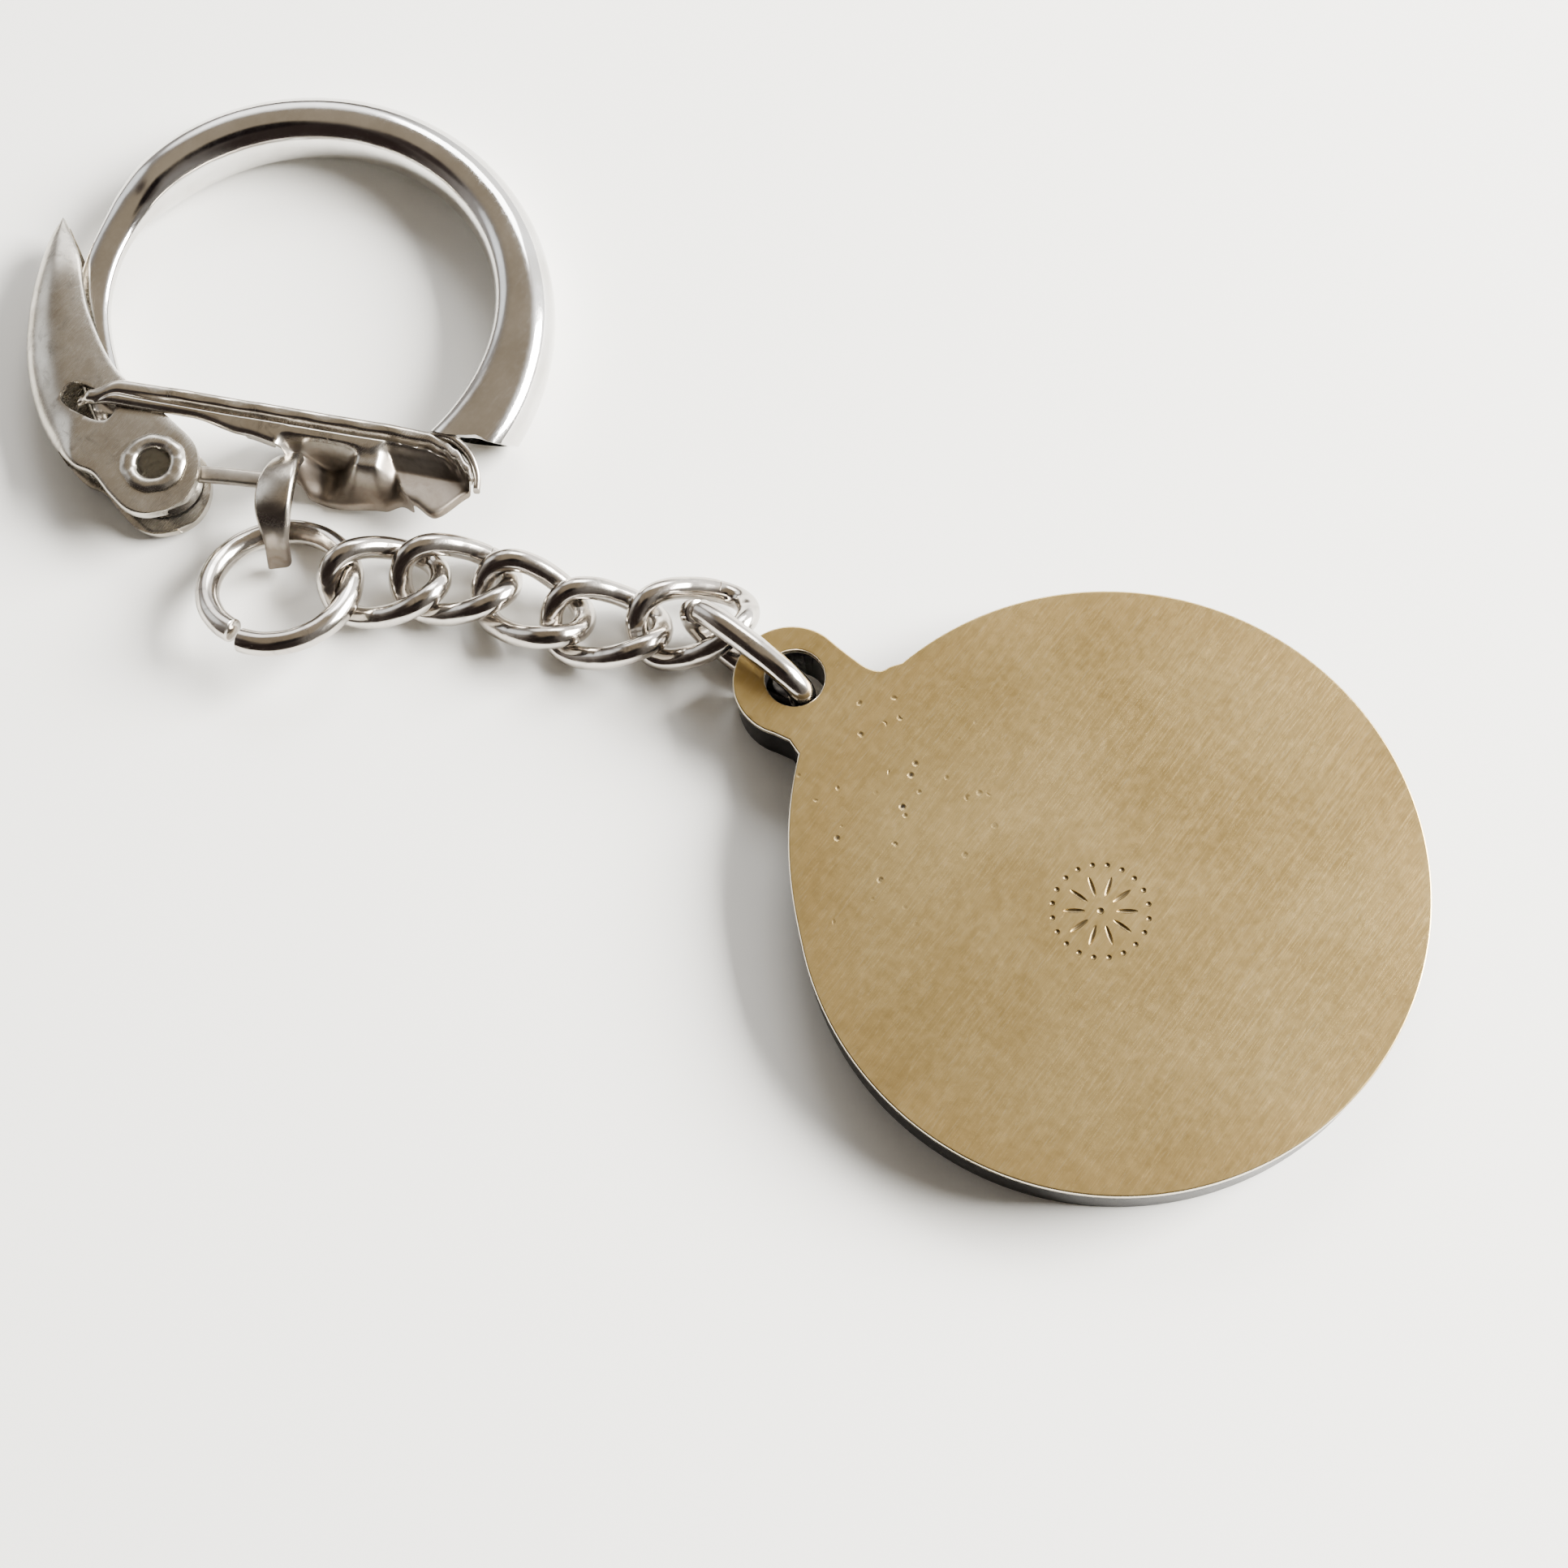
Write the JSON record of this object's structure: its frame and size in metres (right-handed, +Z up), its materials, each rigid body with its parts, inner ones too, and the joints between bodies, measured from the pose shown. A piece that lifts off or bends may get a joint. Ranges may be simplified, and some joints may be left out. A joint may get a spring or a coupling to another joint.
{
  "type": "key chain",
  "caption": "Key chain: a round metal-backed black fob on a short curb chain, joined to a key ring whose horn-shaped lever opens a sprung gate bar.",
  "frame": {"origin": "centre of the bounding box's base, on the surface that the key chain lies on", "axes": "+X from the key ring to the fob, +Y across, towards the bow's closed side, +Z up, out of the fob's metal back"},
  "size_m": [0.0978, 0.037, 0.0056],
  "materials": {
    "back_plate": "satin, lightly scratched",
    "body": "glossy black",
    "front_disc": "satin dial, guessed",
    "connector": "polished nickel plate",
    "chain": "polished nickel plate",
    "jump_ring": "polished nickel plate",
    "lever": "worn nickel plate",
    "bar": "worn nickel plate",
    "rivet": "worn nickel plate",
    "spring": "plain spring steel",
    "bow": "polished chrome plate"
  },
  "bodies": {
    "fob": {"fob_body": "body", "fob_back_plate": "back_plate", "fob_front_disc": "front_disc"},
    "connector": {"connector_ring": "connector"},
    "link_5": {"chain_link_5": "chain"},
    "link_4": {"chain_link_4": "chain"},
    "link_3": {"chain_link_3": "chain"},
    "link_2": {"chain_link_2": "chain"},
    "link_1": {"chain_link_1": "chain"},
    "jump_ring": {"jump_ring": "jump_ring"},
    "gate": {"horn_lever": "lever", "gate_bar": "bar", "pivot_rivet": "rivet", "return_spring": "spring"},
    "bow": {"bow": "bow"}
  },
  "joints": [
    {"name": "connector_swing", "type": "hinge", "parent": "fob", "child": "connector", "pos_m": [0.00893, 0.00004, 0.0028], "axis": [0, 0, 1], "range_deg": [-8, 8]},
    {"name": "link_5_swing", "type": "hinge", "parent": "connector", "child": "link_5", "pos_m": [0.00245, 0.00009, 0.00249], "axis": [0, 0, 1], "range_deg": [-8, 8]},
    {"name": "link_4_swing", "type": "hinge", "parent": "link_5", "child": "link_4", "pos_m": [-0.00105, -0.00248, 0.00183], "axis": [0.4659, -0.8848, 0], "range_deg": [-8, 0]},
    {"name": "link_3_swing", "type": "hinge", "parent": "link_4", "child": "link_3", "pos_m": [-0.00525, -0.0045, 0.00174], "axis": [0, 0, 1], "range_deg": [-8, 8]},
    {"name": "link_2_swing", "type": "hinge", "parent": "link_3", "child": "link_2", "pos_m": [-0.00993, -0.00592, 0.00165], "axis": [0.4872, -0.8733, 0], "range_deg": [-8, 0]},
    {"name": "link_1_swing", "type": "hinge", "parent": "link_2", "child": "link_1", "pos_m": [-0.0138, -0.00863, 0.00167], "axis": [0, 0, 1], "range_deg": [-8, 8]},
    {"name": "jump_ring_swing", "type": "hinge", "parent": "link_1", "child": "jump_ring", "pos_m": [-0.01772, -0.01138, 0.00207], "axis": [0.5821, -0.8131, 0], "range_deg": [-8, 0]},
    {"name": "gate_swing", "type": "hinge", "parent": "jump_ring", "child": "gate", "pos_m": [-0.02278, -0.00996, 0.0019], "axis": [0, 0, 1], "range_deg": [-8, 8]},
    {"name": "bow_opening", "type": "hinge", "parent": "gate", "child": "bow", "pos_m": [-0.03153, -0.01231, 0.00215], "axis": [0, 0, 1], "range_deg": [0, 6], "stiffness_Nm_per_rad": 0.02, "springref_deg": -20.05}
  ]
}
